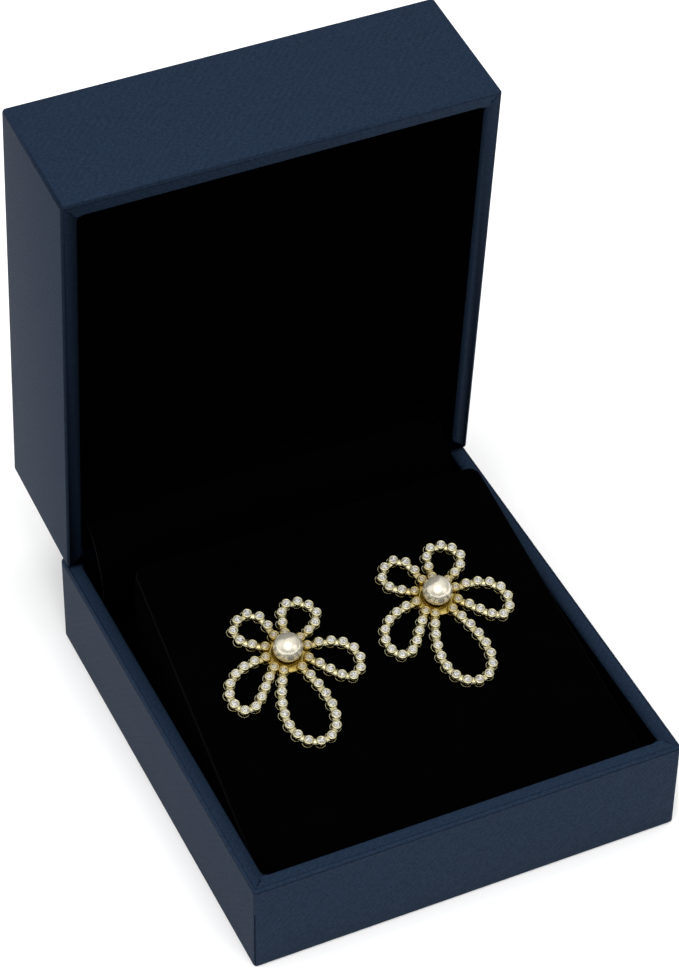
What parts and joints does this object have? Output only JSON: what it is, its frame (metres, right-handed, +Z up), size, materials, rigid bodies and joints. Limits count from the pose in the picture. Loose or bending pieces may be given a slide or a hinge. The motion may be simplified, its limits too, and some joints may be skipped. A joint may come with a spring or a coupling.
{
  "type": "pair of stud earrings in a hinged jewellery box",
  "caption": "Flower stud earrings with looped petals of bezel-set stones round a polished ball, pinned on a velvet wedge in a small navy box whose lid swings on a back hinge.",
  "frame": {"origin": "centre of the base's flat underside", "axes": "+Z up, +Y towards the hinge side, +X to the right as seen from the open front"},
  "size_m": [0.08, 0.1098, 0.1084],
  "materials": {
    "navy_leatherette": "embossed matt",
    "black_velvet": "short pile",
    "hinge_cloth": "matt",
    "gold": "polished",
    "polished_gold": "mirror polished",
    "stone": "cut and polished"
  },
  "bodies": {
    "base": {"box_base": "navy_leatherette", "display_pad": "black_velvet", "hinge_strip": "hinge_cloth", "left_flower": "gold", "left_ball": "polished_gold", "right_flower": "gold", "right_ball": "polished_gold"},
    "lid": {"box_lid": "navy_leatherette", "lid_panel": "black_velvet"}
  },
  "joints": [
    {"name": "lid_hinge", "type": "hinge", "parent": "base", "child": "lid", "pos_m": [0, 0.0414, 0.022], "axis": [1, 0, 0], "range_deg": [0, 85.6], "deforming": ["hinge_strip"]}
  ]
}
